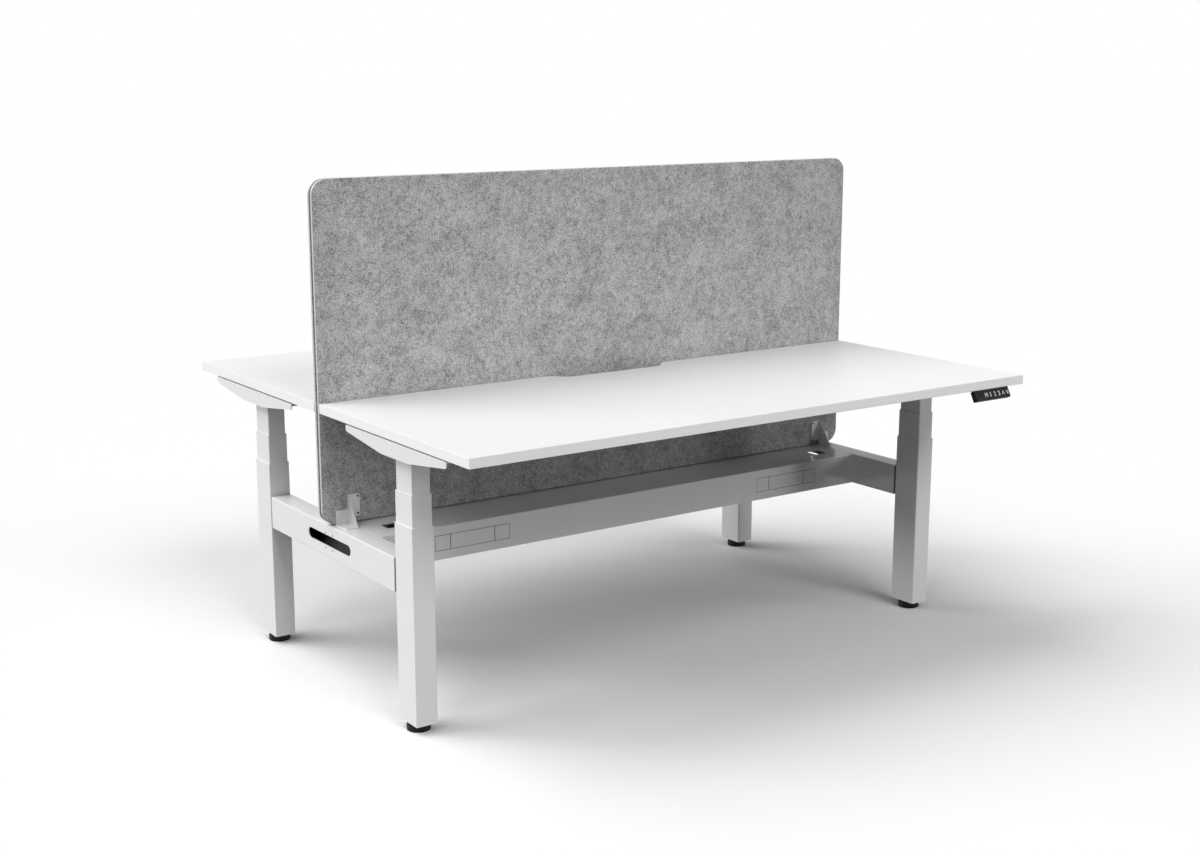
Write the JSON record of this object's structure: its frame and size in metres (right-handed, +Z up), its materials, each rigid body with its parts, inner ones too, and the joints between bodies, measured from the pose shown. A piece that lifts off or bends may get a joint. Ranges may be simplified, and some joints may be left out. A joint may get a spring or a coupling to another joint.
{
  "type": "back-to-back height-adjustable workstation",
  "caption": "Facing lift desks on one frame: telescopic columns, cable beam with knock-outs, felt divider screen on brackets, tilted control handsets and levelling feet.",
  "frame": {"origin": "on the floor under the centre of the workstation", "axes": "+X along the desks, to the right of the user at the front desk; +Y from the front desk to the rear desk; +Z up"},
  "size_m": [1.8, 1.5552, 1.332],
  "materials": {
    "white_board": "white melamine on particle board, matt",
    "frame_white": "white powder coat on steel, satin",
    "grey_felt": "marled grey pressed felt",
    "dark_core": "dark fibreboard edge, matt",
    "black_foot": "black moulded plastic",
    "drive_black": "black painted gear case and motor",
    "black_plastic": "black moulded plastic, fine grain",
    "key_plastic": "black soft-touch keys with light legends"
  },
  "bodies": {
    "base": {"end_rail_left": "frame_white", "end_rail_right": "frame_white", "cable_beam": "frame_white", "beam_cover": "frame_white", "screen_front": "grey_felt", "screen_rear": "grey_felt", "screen_core": "dark_core", "front_left_outer_column": "frame_white", "front_left_knockout": "frame_white", "front_left_bracket": "frame_white", "front_right_outer_column": "frame_white", "front_right_knockout": "frame_white", "front_right_bracket": "frame_white", "rear_left_outer_column": "frame_white", "rear_left_knockout": "frame_white", "rear_left_bracket": "frame_white", "rear_right_outer_column": "frame_white", "rear_right_knockout": "frame_white", "rear_right_bracket": "frame_white"},
    "front_left_foot": {"front_left_foot": "black_foot"},
    "front_left_middle_column": {"front_left_middle_column": "frame_white"},
    "front_desk": {"front_left_inner_column": "frame_white", "front_left_arm": "frame_white", "front_left_drive": "drive_black", "front_right_inner_column": "frame_white", "front_right_arm": "frame_white", "front_right_drive": "drive_black", "front_desktop": "white_board", "front_crossbars": "frame_white", "front_control_box": "black_plastic", "front_handset": "black_plastic"},
    "front_right_foot": {"front_right_foot": "black_foot"},
    "front_right_middle_column": {"front_right_middle_column": "frame_white"},
    "front_key_memory": {"front_key_memory": "key_plastic"},
    "front_key_one": {"front_key_one": "key_plastic"},
    "front_key_two": {"front_key_two": "key_plastic"},
    "front_key_three": {"front_key_three": "key_plastic"},
    "front_key_up": {"front_key_up": "key_plastic"},
    "front_key_down": {"front_key_down": "key_plastic"},
    "rear_left_foot": {"rear_left_foot": "black_foot"},
    "rear_left_middle_column": {"rear_left_middle_column": "frame_white"},
    "rear_desk": {"rear_left_inner_column": "frame_white", "rear_left_arm": "frame_white", "rear_left_drive": "drive_black", "rear_right_inner_column": "frame_white", "rear_right_arm": "frame_white", "rear_right_drive": "drive_black", "rear_desktop": "white_board", "rear_crossbars": "frame_white", "rear_control_box": "black_plastic", "rear_handset": "black_plastic"},
    "rear_right_foot": {"rear_right_foot": "black_foot"},
    "rear_right_middle_column": {"rear_right_middle_column": "frame_white"},
    "rear_key_memory": {"rear_key_memory": "key_plastic"},
    "rear_key_one": {"rear_key_one": "key_plastic"},
    "rear_key_two": {"rear_key_two": "key_plastic"},
    "rear_key_three": {"rear_key_three": "key_plastic"},
    "rear_key_up": {"rear_key_up": "key_plastic"},
    "rear_key_down": {"rear_key_down": "key_plastic"}
  },
  "joints": [
    {"name": "front_lift", "type": "slide", "parent": "base", "child": "front_desk", "axis": [0, 0, 1], "range_m": [-0.1366, 0.5134]},
    {"name": "rear_lift", "type": "slide", "parent": "base", "child": "rear_desk", "axis": [0, 0, 1], "range_m": [-0.1366, 0.5134]},
    {"name": "front_left_stage", "type": "slide", "parent": "base", "child": "front_left_middle_column", "axis": [0, 0, 1], "range_m": [-0.0684, 0.2568]},
    {"name": "front_right_stage", "type": "slide", "parent": "base", "child": "front_right_middle_column", "axis": [0, 0, 1], "range_m": [-0.0684, 0.2568]},
    {"name": "rear_left_stage", "type": "slide", "parent": "base", "child": "rear_left_middle_column", "axis": [0, 0, 1], "range_m": [-0.0684, 0.2568]},
    {"name": "rear_right_stage", "type": "slide", "parent": "base", "child": "rear_right_middle_column", "axis": [0, 0, 1], "range_m": [-0.0684, 0.2568]},
    {"name": "front_left_foot_screw", "type": "slide", "parent": "base", "child": "front_left_foot", "axis": [0, 0, 1], "range_m": [-0.012, 0]},
    {"name": "front_right_foot_screw", "type": "slide", "parent": "base", "child": "front_right_foot", "axis": [0, 0, 1], "range_m": [-0.012, 0]},
    {"name": "rear_left_foot_screw", "type": "slide", "parent": "base", "child": "rear_left_foot", "axis": [0, 0, 1], "range_m": [-0.012, 0]},
    {"name": "rear_right_foot_screw", "type": "slide", "parent": "base", "child": "rear_right_foot", "axis": [0, 0, 1], "range_m": [-0.012, 0]},
    {"name": "front_press_memory", "type": "slide", "parent": "front_desk", "child": "front_key_memory", "axis": [0, 0.8829, -0.4695], "range_m": [0, 0.0012], "stiffness_N_per_m": 800},
    {"name": "front_press_one", "type": "slide", "parent": "front_desk", "child": "front_key_one", "axis": [0, 0.8829, -0.4695], "range_m": [0, 0.0012], "stiffness_N_per_m": 800},
    {"name": "front_press_two", "type": "slide", "parent": "front_desk", "child": "front_key_two", "axis": [0, 0.8829, -0.4695], "range_m": [0, 0.0012], "stiffness_N_per_m": 800},
    {"name": "front_press_three", "type": "slide", "parent": "front_desk", "child": "front_key_three", "axis": [0, 0.8829, -0.4695], "range_m": [0, 0.0012], "stiffness_N_per_m": 800},
    {"name": "front_press_up", "type": "slide", "parent": "front_desk", "child": "front_key_up", "axis": [0, 0.8829, -0.4695], "range_m": [0, 0.0012], "stiffness_N_per_m": 800},
    {"name": "front_press_down", "type": "slide", "parent": "front_desk", "child": "front_key_down", "axis": [0, 0.8829, -0.4695], "range_m": [0, 0.0012], "stiffness_N_per_m": 800},
    {"name": "rear_press_memory", "type": "slide", "parent": "rear_desk", "child": "rear_key_memory", "axis": [0, -0.8829, -0.4695], "range_m": [0, 0.0012], "stiffness_N_per_m": 800},
    {"name": "rear_press_one", "type": "slide", "parent": "rear_desk", "child": "rear_key_one", "axis": [0, -0.8829, -0.4695], "range_m": [0, 0.0012], "stiffness_N_per_m": 800},
    {"name": "rear_press_two", "type": "slide", "parent": "rear_desk", "child": "rear_key_two", "axis": [0, -0.8829, -0.4695], "range_m": [0, 0.0012], "stiffness_N_per_m": 800},
    {"name": "rear_press_three", "type": "slide", "parent": "rear_desk", "child": "rear_key_three", "axis": [0, -0.8829, -0.4695], "range_m": [0, 0.0012], "stiffness_N_per_m": 800},
    {"name": "rear_press_up", "type": "slide", "parent": "rear_desk", "child": "rear_key_up", "axis": [0, -0.8829, -0.4695], "range_m": [0, 0.0012], "stiffness_N_per_m": 800},
    {"name": "rear_press_down", "type": "slide", "parent": "rear_desk", "child": "rear_key_down", "axis": [0, -0.8829, -0.4695], "range_m": [0, 0.0012], "stiffness_N_per_m": 800}
  ],
  "couplings": [
    {"joint": "front_left_stage", "follows": "front_lift", "ratio": 0.5},
    {"joint": "front_right_stage", "follows": "front_lift", "ratio": 0.5},
    {"joint": "rear_left_stage", "follows": "rear_lift", "ratio": 0.5},
    {"joint": "rear_right_stage", "follows": "rear_lift", "ratio": 0.5}
  ]
}
